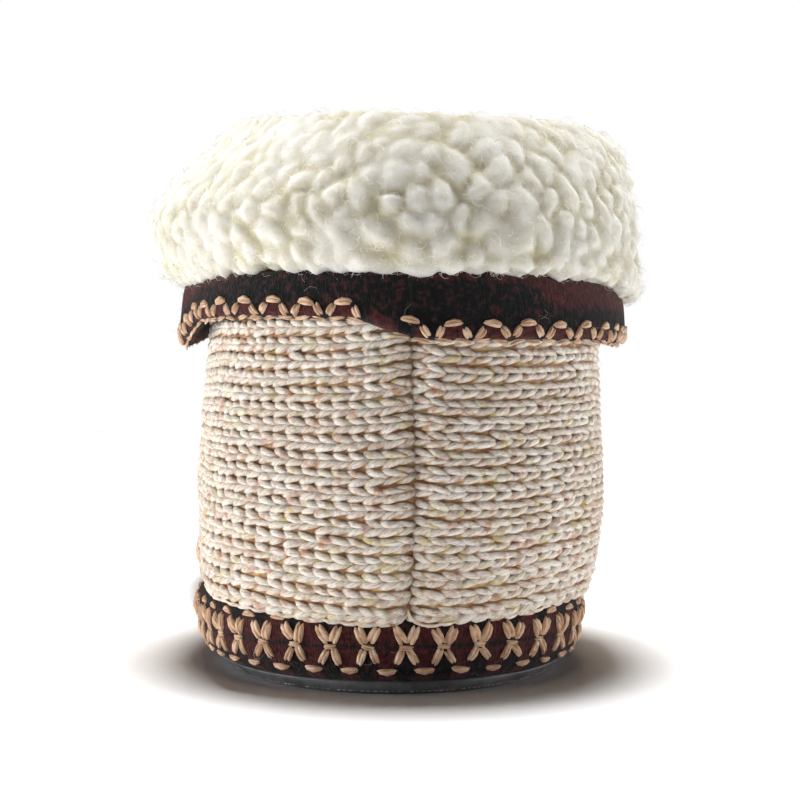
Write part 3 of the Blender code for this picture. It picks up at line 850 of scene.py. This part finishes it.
def stitches_along(line, faces, edge=0.0):
    """Centres, tangents and normals of stitches evenly spaced on a line, short of its ends by an edge."""
    lengths = way_along(line)
    room = lengths[-1] - 2 * edge
    count = max(int(round(room / STITCH)), 1)
    ways = edge + (np.arange(count) + 0.5) / count * room
    normal = unit(along_line(ways, lengths, faces))
    behind, centre, ahead = (along_line(ways + step, lengths, line) for step in (-STITCH / 2, 0, STITCH / 2))
    return centre, laid(unit(ahead - behind), normal), normal


def level_line(grid, normals, levels, level, order):
    """Where a level crosses each column of the grid: points and normals."""
    rows = np.arange(levels.shape[1])
    at = np.array([np.interp(level, levels[column], rows) for column in order])
    low = np.minimum(at.astype(int), len(rows) - 2)
    part = (at - low)[:, None]
    return [blend(values[order, low], values[order, low + 1], part) for values in (grid, normals)]


def stitch_rows(grid):
    """Every visible stitch of the upper, row by row from the hem, and the wale over the toe seam."""
    normals = grid_normals(grid)
    levels = np.maximum.accumulate(tilted(way_from_hem(grid)), axis=1)
    steps = norm(np.diff(grid, axis=1))
    above = np.concatenate([np.cumsum(steps[:, ::-1], axis=1)[:, ::-1], np.zeros((len(grid), 1))], axis=1)
    last = np.argmax(above < COVERED, axis=1)
    tops = levels[np.arange(COLUMNS), last]
    rows = []
    for level in np.arange(levels.min() + FIRST_WALE * WALE, tops.max(), WALE):
        reached = tops >= level
        whole = reached.all()
        first = 0 if whole else int(np.argmax(reached & ~np.roll(reached, 1)))
        order = (first + np.arange(COLUMNS + 1 if whole else int(reached.sum()))) % COLUMNS
        if len(order) >= LEAST_COLUMNS:
            line, faces = level_line(grid, normals, levels, level, order)
            rows.append(stitches_along(line, faces, SEAM_EDGE if whole else 0.0))
    toe, top = COLUMNS // 2, last[COLUMNS // 2]
    rows.append(stitches_along(grid[toe, :top] + normals[toe, :top] * RIDGE_LIFT, normals[toe, :top]))
    return [np.concatenate(part) for part in zip(*rows)]


def knit_upper():
    """Base shell and two meshes of stitches, one for each side of the shoe."""
    grid = upper_grid()
    normals = grid_normals(grid)
    inner = (grid - normals * SHELL_WALL)[:, ROLL_ROWS:]
    around, up, down = SHELL_STEPS
    shell = np.concatenate([(grid - normals * SHELL_SINK)[:, ::up], inner[:, ::-down]], axis=1)[::around]
    add_grid("knit_ground", shell, ground_paint(), "knit", replaces=("upper",), closed=True)
    stitches = stitch_rows(grid)
    yarn = yarn_paint()
    outer = stitches[0][:, 0] < AXIS_X
    for name, chosen in (("knit_outer_side", outer), ("knit_inner_side", ~outer)):
        add_stitches(name, *(part[chosen] for part in stitches), yarn)


def noise_at(points, kind, size):
    return np.array([kind(Vector(point) / size) for point in points])


def add_stitches(name, centres, tangents, normals, material):
    """Both legs of every stitch, each a little different."""
    centres, tangents, normals = (np.repeat(part, 2, axis=0) for part in (centres, tangents, normals))
    count = len(centres)
    side = np.tile((1.0, -1.0), count // 2)
    across = np.cross(normals, tangents)
    drift = noise_at(centres, noise.noise, DRIFT_SIZE)[:, None]
    strays = zip((normals, tangents, across), STITCH_STRAY)
    stray = sum(way * RNG.normal(0, most, (count, 1)) for way, most in strays)
    centres = centres + stray * MM + across * drift * STITCH_DRIFT
    turn = RNG.normal(0, STITCH_TURN, (count, 1))
    tangents = tangents * np.cos(turn) + across * np.sin(turn)
    lengths, widths = (RNG.normal(1.0, spread, count) * MM for spread in STITCH_SPREAD)
    points, faces, along, around, per = swept(
        centres, tangents, normals, side, STITCH_LEG, lengths, widths, LEG_FLAT)
    made = add_piece(name, points, faces, material)
    add_yarn(made, along * LEG_YARN[0], around * LEG_YARN[1], count, per)
    # How far each point stands out; the yarn's material paints shade onto the lower parts from it.
    proud = np.sum((points - np.repeat(centres, per, axis=0)) * np.repeat(normals, per, axis=0), axis=-1)
    add_values(made, "proud", proud / MM)


# ---- fleece: cuff and lining ----
def clumps(points, normals, size):
    """Height of the fleece's clumps at each point, 0 to 1: soft long pillows, with creases between."""
    flat, faces = points.reshape(-1, 3), normals.reshape(-1, 3)
    apart = (CLUMP_APART * size) ** 2
    chosen = []
    tries = int(CLUMP_TRIES * areas(points).sum() / size ** 2)
    for place in scattered(points, min(tries, len(flat) // 2)):
        if not chosen or np.min(np.sum((flat[chosen] - flat[place]) ** 2, axis=1)) > apart:
            chosen.append(place)
    centres, count = flat[chosen], len(chosen)
    down = np.gradient(points, axis=1).reshape(-1, 3)[chosen]
    ways = laid(unit(unit(down) + CLUMP_STRAY * RNG.normal(size=(count, 3))), faces[chosen])
    radii = size * RNG.uniform(*CLUMP_RADII, count)
    tall = RNG.uniform(*CLUMP_TALL, count)
    height = np.zeros(len(flat))
    bent = flat + CLUMP_WARP * noise_at(flat, noise.noise_vector, CLUMP_WARP_SIZE)
    for start in range(0, len(flat), AT_A_TIME):
        part = bent[start:start + AT_A_TIME]
        along = part @ ways.T - np.sum(centres * ways, axis=1)
        squared = np.sum(part ** 2, axis=1)[:, None] + np.sum(centres ** 2, axis=1) - 2 * part @ centres.T
        away = np.sqrt(np.maximum(squared - CLUMP_LONG * along ** 2, 0)) / radii
        near, far = np.partition(away, 1, axis=1)[:, :2].T
        crease = 1 - np.exp(-((far - near) / CLUMP_EDGE) ** 2)
        fall = CLUMP_ROUND * np.minimum(near, CLUMP_REACH) ** 2
        height[start:start + AT_A_TIME] = blend(CLUMP_CREASE, tall[np.argmin(away, axis=1)], crease) - fall
    usual, spread, least = CLUMP_CLEAR
    clear = np.clip(usual + spread * noise_at(flat, noise.noise, CLUMP_FADE), least, 1.0)
    height = (1 - clear * (1 - np.clip(height, 0.0, 1.0))).reshape(points.shape[:2])
    return (4 * height + sum(np.roll(height, step, axis) for step in (1, -1) for axis in (0, 1))) / 8


def curls(points, size):
    """Fine woolly noise at each point, about -1 to 1. The size is in mm."""
    flat = points.reshape(-1, 3) / (size * MM)
    return np.array([noise.fractal(Vector(point), *CURL_NOISE) for point in flat]).reshape(points.shape[:-1])


def add_fleece(name, points, height, paint, slot, replaces=(), **grid):
    made = add_grid(name, points, fleece_paint(*paint), slot, replaces, **grid)
    # The clump heights also set the fleece's painted crease shade.
    add_values(made, "clump", height)
    return made


def fleece_cuff():
    """Turned-down sherpa, over the section of the solid."""
    shares = cuff_shares(CUFF_COLUMNS)
    side = outer_side(shares)
    inner_down, inner_out, outer_down, outer_out = numbers(CUFF_SECTION).T[..., None] * MM
    rows = np.stack([blend(inner_down, outer_down, side), blend(inner_out, outer_out, side)], -1)
    rows[:OUTER_ROWS, :, 0] *= heel_shortening(shares)
    places = even_places(rows[:, 0], CUFF_POINTS)
    section = smooth_rows(rows, places)
    points = cuff_points(shares, section[..., 0].T, section[..., 1].T)
    normals = grid_normals(points, closed=True)
    shown = ease((FLEECE_TO[0] - places) / FLEECE_TO[1]) * ease(places, *FLEECE_FROM)
    height = clumps(points, normals, CLUMP)
    flat = 1 - CLUMP_COMBED * ease(normals[..., 2])
    curl = CURL_HEIGHT * flat * curls(points, CURL_SIZE)
    fold = FOLD_HEIGHT * curls(points, FOLD_SIZE)
    lift = (CLUMP_HEIGHT * (1 - flat * (1 - height)) - CLUMP_SINK + curl + fold) * shown
    points = points + normals * lift[..., None]
    add_fleece("sherpa_cuff", points, height, ("sherpa", 1.0), "fleece", ("fleece_cuff",), closed=True)
    # The hairs are paler than the fleece under them: painted light, for loose fibres that catch more of it.
    paint = hair_paint("fleece_hair", 255, 250, 236)
    hem = np.exp(-((places - HEM_AT[0]) / HEM_AT[1]) ** 2)
    for (name, *sizes), weights in zip(FLEECE_HAIRS, (shown, hem)):
        fuzz(name, points, *sizes, paint, "fleece", weights)


def lining():
    """Short fleece on the inside of the knit."""
    columns, rows = LINING_GRID
    t = np.linspace(*LINING_ENDS, rows)[None, :, None]
    face = bezier([point[:, None] for point in upper_handles(np.arange(columns) / columns)], t)
    normals = grid_normals(face)
    face = face - normals * LINING_SINK
    height = clumps(face, normals, SHORT_CLUMP)
    size, curl = LINING_CURLS
    face = face - normals * (LINING_HEIGHT * height + curl * curls(face, size))[..., None]
    add_fleece("lining", face, height, ("lining_fleece", 0.95), "fleece", turned=True)


# ---- bands ----
def face_rows(table, first, last):
    """Fine rows of a band's section, between two rows of its table."""
    return smooth_rows(numbers(table), np.linspace(first, last, FACE_STEPS)).T


def sole_band_surface(shares, heights):
    """Point on the sole band's outer face at a height in mm, above the sole's own rise."""
    rise, depth = face_rows(BAND_SECTION, 0, 5)
    return inset(shares, np.interp(heights, rise, depth) * MM, heights * MM)


def frames_on(surface, shares, heights):
    """Centre, tangent round the shoe and outward normal of a surface at each share and height."""
    small = NUDGE[0] / (WAY_ROUND / MM)
    along = unit(surface(shares + small, heights) - surface(shares - small, heights))
    up = surface(shares, heights + NUDGE[1]) - surface(shares, heights - NUDGE[1])
    return surface(shares, heights), along, unit(np.cross(up, along))


def pattern_stitches(name, surface, table, repeats, whole, skipped=(0, 0)):
    """Tan stitches of a table on a surface, once for each repeat, each of two plies side by side.

    A bowed stitch has one straight ply and one bowed out from it. None lies between the skipped shares."""
    values = []
    for repeat in repeats:
        for _, along, height, length, width, lean, bow in table:
            share = (repeat + along / REPEAT) / whole % 1.0
            if skipped[0] < share < skipped[1]:
                continue
            height += RNG.normal(0, TAN_STRAY[0])
            lean = math.radians(lean) + RNG.normal(0, TAN_STRAY[1])
            for ply in (PLY, -PLY):
                long, wide, turned = (RNG.normal(*spread) for spread in PLY_SPREAD)
                values.append((share, height, length * long, width * PLY_WIDTH * wide, lean + turned,
                               bow * (bow * ply < 0), ply * width))
    shares, heights, lengths, widths, leans, bows, plies = np.array(values).T
    centre, along, normal = frames_on(surface, shares, heights)
    tangent = along * np.cos(leans)[:, None] - np.cross(normal, along) * np.sin(leans)[:, None]
    centre = centre + np.cross(normal, tangent) * plies[:, None] * MM
    points, faces, part, around, per = swept(
        centre, tangent, normal, bows / PLY_WIDTH, STRAND, lengths * MM, widths * MM)
    made = add_piece(name, points, faces, tan_paint())
    add_yarn(made, part * np.repeat(lengths, per), around * PLY_YARN, len(centre), per)


def add_wool(name, points, replaces, way, height, black, turned=False):
    """A band's ground, with its chart: way round and height in mm, and whether it is black or maroon."""
    made = add_grid(name, points, wool_paint(), "woven_band", replaces, closed=True, turned=turned)
    add_values(made, "chart", np.stack(np.broadcast_arrays(way[:, None], height, black), -1))


def sole_band():
    """Jacquard strip round the sole: dark ground, rounded over at the top and tucked under at the foot."""
    repeats = round(WAY_ROUND / MM / REPEAT)
    shares = np.arange(repeats * REPEAT_COLUMNS) / (repeats * REPEAT_COLUMNS)
    table = numbers(BAND_SECTION)
    height, depth = smooth_rows(table, even_places(table, BAND_POINTS)).T
    points = inset(shares[:, None], depth * MM, height * MM)
    edge = np.abs((shares * repeats + 0.5) % 1.0 - 0.5)[:, None] * REPEAT
    black = sum((height > low) & (height < high) & (edge < wide + gain * (height - low))
                for low, high, wide, gain in numbers(SOLE_BLACK)) > 0
    add_wool("sole_band_wool", points, ("sole_band",), shares * repeats * REPEAT, height, black)
    pattern_stitches("sole_band_stitches", sole_band_surface, SOLE_STITCHES, range(repeats), repeats)
    return points


def cuff_band_reach(shares):
    """The outer side's share, the band's top edge below the knit's, and the band's height."""
    side = outer_side(shares)
    _, hem_in, _, hem_out, _ = CUFF_SECTION[1]
    top = blend(hem_in, hem_out, side) * MM * heel_shortening(shares) + CUFF_BAND_GAP
    return side, top, band_drop(shares) - top


def cuff_band_surface(shares, heights):
    """Point on the cuff band's outer face at a height in mm above its fold."""
    side, top, whole = cuff_band_reach(shares)
    part = 1 - np.clip(heights * MM / whole, -0.2, 1.2)
    down, *outs = face_rows(CUFF_BAND_SECTION, 1, 4)
    out = blend(*(np.interp(part, down, values) for values in outs), side) * MM
    return cuff_points(shares, (top + part * whole)[:, None], out[:, None])[:, 0]


def on_collar(shares, heights):
    """Point on the cuff band, for shares counted evenly round the collar."""
    even = np.linspace(0, 1, COLLAR_STEPS + 1)
    places = np.append(cuff_shares(COLLAR_STEPS), 1.0)
    return cuff_band_surface(np.interp(shares % 1.0, even, places), heights)


def cuff_band():
    """The same strip below the fleece, folded at its lower edge."""
    columns, rows = CUFF_BAND_GRID
    shares = cuff_shares(columns)
    side, top, whole = (values[:, None] for values in cuff_band_reach(shares))
    table = numbers(CUFF_BAND_SECTION)
    down, inner, outer = smooth_rows(table, even_places(table * (10, 1, 1), rows)).T
    points = cuff_points(shares, top + down * whole, blend(inner, outer, side) * MM)
    height = (1 - down) * whole / MM
    even = np.arange(columns) / columns
    wide, tall = CUFF_SQUARE
    square = (np.abs(((even - 1) * CUFF_REPEATS + 0.5) % 1.0 - 0.5) < wide)[:, None] & (height < tall)
    past = np.where(even < 0.5, *(ease(way, *heel) for way, heel in zip((even, 1 - even), MAROON_HEEL)))
    size, stray = MAROON_STRAY
    black = (height < blend(*MAROON_FROM, past)[:, None] + stray * curls(points, size)) & ~square
    add_wool("cuff_band_wool", points, ("cuff_band",), even * CUFF_BAND_LONG, height, black, turned=True)
    repeats = CUFF_REPEATS - np.arange(int(CUFF_REPEATS))
    pattern_stitches("cuff_band_stitches", on_collar, CUFF_STITCHES, repeats, CUFF_REPEATS, CUFF_JOINT)
    return points


# ---- soles ----
def rings_inside(edge, parts, height):
    """Rings inside an edge, for each part of its size, at a height above the sole's own rise."""
    middle = np.array((AXIS_X, HEEL_Y + LENGTH / 2, 0))
    rings = []
    for part in parts:
        ring = middle + (edge - middle) * part
        ring[:, 2] = height(part) + toe_rise(ring[:, 1])
        rings.append(ring)
    return rings


def outsole():
    """Thin dark sole with rounded edges."""
    shares = np.arange(SOLE_COLUMNS) / SOLE_COLUMNS
    profile = numbers(OUTSOLE_EDGE)[::-1] * MM
    rings = [inset(shares, OUTSOLE_INSET + depth, height) for height, depth in profile]
    above, below = OUTSOLE_RINGS
    top = rings_inside(rings[0], np.linspace(*RING_ENDS[::-1], above), lambda part: OUTSOLE_THICK)
    bottom = rings_inside(rings[-1], np.linspace(*RING_ENDS, below), lambda part: 0.0)
    points = np.stack(top + rings + bottom, 1)
    low = (points[..., 2] - toe_rise(points[..., 1])) < OUTSOLE_LOW
    share = (points[..., 1] - HEEL_Y) / LENGTH
    rise, full, fall, end = ARCH
    points[..., 2] += ARCH_RISE * (ease(share, rise, full - rise) - ease(share, fall, end - fall)) * low
    add_grid("outsole_rubber", points, rubber_paint(), "outsole_rubber", replaces=("outsole",), turned=True)


def sole_edge(shares, heights):
    """Point on the outsole's side at a height in mm."""
    rise, depth = numbers(OUTSOLE_EDGE).T
    return inset(shares, OUTSOLE_INSET + np.interp(heights, rise, depth) * MM, heights * MM)


def sole_thread():
    """Pale thread that shows as short dashes along the outsole's lower edge."""
    count = round(WAY_ROUND / MM / THREAD_STEP)
    shares = (np.arange(count) + RNG.uniform(-THREAD_STRAY, THREAD_STRAY, count)) / count
    centre, along, normal = frames_on(sole_edge, shares, np.full(count, THREAD_HEIGHT))
    centre = centre - normal * (THREAD_SINK * RNG.uniform(0.0, 1.0, count) ** 2)[:, None]
    lengths = THREAD_LONG * RNG.uniform(*THREAD_LENGTHS, count) * MM
    points, faces, *_ = swept(centre, along, normal, np.zeros(count), STRAND, lengths,
                              np.full(count, THREAD_WIDE * MM), sides=3)
    paint = Paint("pale_thread", 0.8)
    tone = paint.ramp(paint.noise(3.0), (0.35, 120, 118, 114), (0.65, 196, 192, 186))
    add_piece("sole_thread", points, faces, paint.paint(tone))


def footbed():
    """Fleece-covered insole with a rounded rim and a dished middle."""
    shares = np.arange(SOLE_COLUMNS) / SOLE_COLUMNS
    foot = OUTSOLE_THICK + GAP
    top = foot + INSOLE_THICK
    bend = INSOLE_BEND * INSOLE_EDGE
    edge = [(depth, foot + up) for depth, up in INSOLE_FOOT]
    edge += [(0, top - INSOLE_EDGE), (bend, top - bend), (INSOLE_EDGE, top)]
    rings = [inset(shares, INSOLE_INSET + depth, height) for depth, height in edge]
    parts = np.linspace(*RING_ENDS, INSOLE_RINGS)
    rings += rings_inside(rings[-1], parts, lambda part: top - INSOLE_DISH * (1 - part ** 2))
    points = np.stack(rings, 1)
    normals = grid_normals(points)
    height = clumps(points, normals, SHORT_CLUMP)
    points = points + normals * (FOOTBED_HEIGHT * (height - 0.5))[..., None]
    made = add_fleece("footbed", points, height, ("footbed_fleece", 0.9), "footbed_fleece", ("insole",))


# ---- camera, light and floor ----
HEEL_MIDDLE = Vector((AXIS_X, HEEL_Y + 40 * MM, 64 * MM))  # at the camera's height
CAMERA_AWAY = 387 * MM
CAMERA_TURN = math.radians(4)
CAMERA_PITCH = math.radians(1.38)
CAMERA_YAW = math.radians(0.26)
LENS = 83.9  # mm on a 36 mm sensor
FLOOR_HALF = 1.1
LAMPS = (
    # name,         place,               width, height, power
    ("ceiling",     (0.0, 0.36, 3.5),    0.8, 0.8, 150.0),
    ("left",        (-1.6, 0.0, 0.05),   1.0, 0.08, 18.5),
    ("left_front",  (-1.3, -0.9, 0.05),  1.0, 0.08, 2.4),
    ("front",       (0.0, -1.7, 0.05),   1.0, 0.08, 0.5),
    ("right",       (1.6, 0.0, 0.05),    1.0, 0.08, 12.0),
)
LAMPS_AIM = Vector((0, -0.05, 0.05))
AMBIENT = 0.02  # of the studio's walls, as light on the shoe


def camera():
    made = add_to_scene("camera", bpy.data.cameras.new("camera"))
    made.data.lens = LENS
    made.data.sensor_width = 36
    forward = Vector((math.sin(CAMERA_TURN), math.cos(CAMERA_TURN), 0))
    made.location = HEEL_MIDDLE - forward * CAMERA_AWAY
    made.rotation_euler = (math.pi / 2 - CAMERA_PITCH, 0, -CAMERA_TURN - CAMERA_YAW)
    bpy.context.scene.camera = made


def floor():
    far = FLOOR_HALF
    mesh = bpy.data.meshes.new("floor")
    mesh.from_pydata([(-far, -far, 0), (far, -far, 0), (far, far, 0), (-far, far, 0)], [], [(0, 1, 2, 3)])
    paint = Paint("pale_floor", 0.8, specular=0.0)
    tone = paint.ramp(paint.noise(900.0), (0.0, 250, 250, 250), (1.0, 253, 253, 253))
    mesh.materials.append(paint.paint(tone))
    add_to_scene("floor", mesh)


def light():
    """Soft light from a panel high above and long, low strips at the floor, in a white studio."""
    scene = bpy.context.scene
    world = bpy.data.worlds.new("studio")
    world.use_nodes = True
    nodes, links = world.node_tree.nodes, world.node_tree.links
    strength = nodes.new("ShaderNodeMapRange")
    strength.inputs["To Min"].default_value = AMBIENT
    strength.inputs["To Max"].default_value = 1.0
    links.new(nodes.new("ShaderNodeLightPath").outputs["Is Camera Ray"], strength.inputs["Value"])
    nodes["Background"].inputs["Color"].default_value = (1, 1, 1, 1)
    links.new(strength.outputs["Result"], nodes["Background"].inputs["Strength"])
    scene.world = world
    for name, place, width, height, power in LAMPS:
        lamp = bpy.data.lights.new(name, "AREA")
        lamp.shape = "RECTANGLE"
        lamp.size, lamp.size_y, lamp.energy = width, height, power
        made = add_to_scene(name, lamp)
        made.location = place
        made.rotation_euler = (LAMPS_AIM - made.location).to_track_quat("-Z", "Y").to_euler()
    scene.view_settings.view_transform = "Standard"


def hairs(bands):
    """Loose fibres over the knit and the dark wool, and a few long light ones on the bands."""
    grid = upper_grid()[:, :-KNIT_BARE]
    name, *sizes = KNIT_HAIRS
    paint = hair_paint("knit_hair", 236, 226, 214)
    fuzz(name, grid, *sizes, paint, "knit", closed=False, lift=KNIT_HAIR_LIFT)
    for name, band in bands.items():
        for kind, *sizes, shade in BAND_HAIRS:
            paint = hair_paint(f"{name}_{kind}_hair", *shade)
            fuzz(f"{name}_{kind}_hairs", band, *sizes, paint, "woven_band")


camera()
floor()
light()
knit_upper()
fleece_cuff()
lining()
bands = {"sole": sole_band(), "cuff": cuff_band()}
outsole()
sole_thread()
footbed()
hairs(bands)
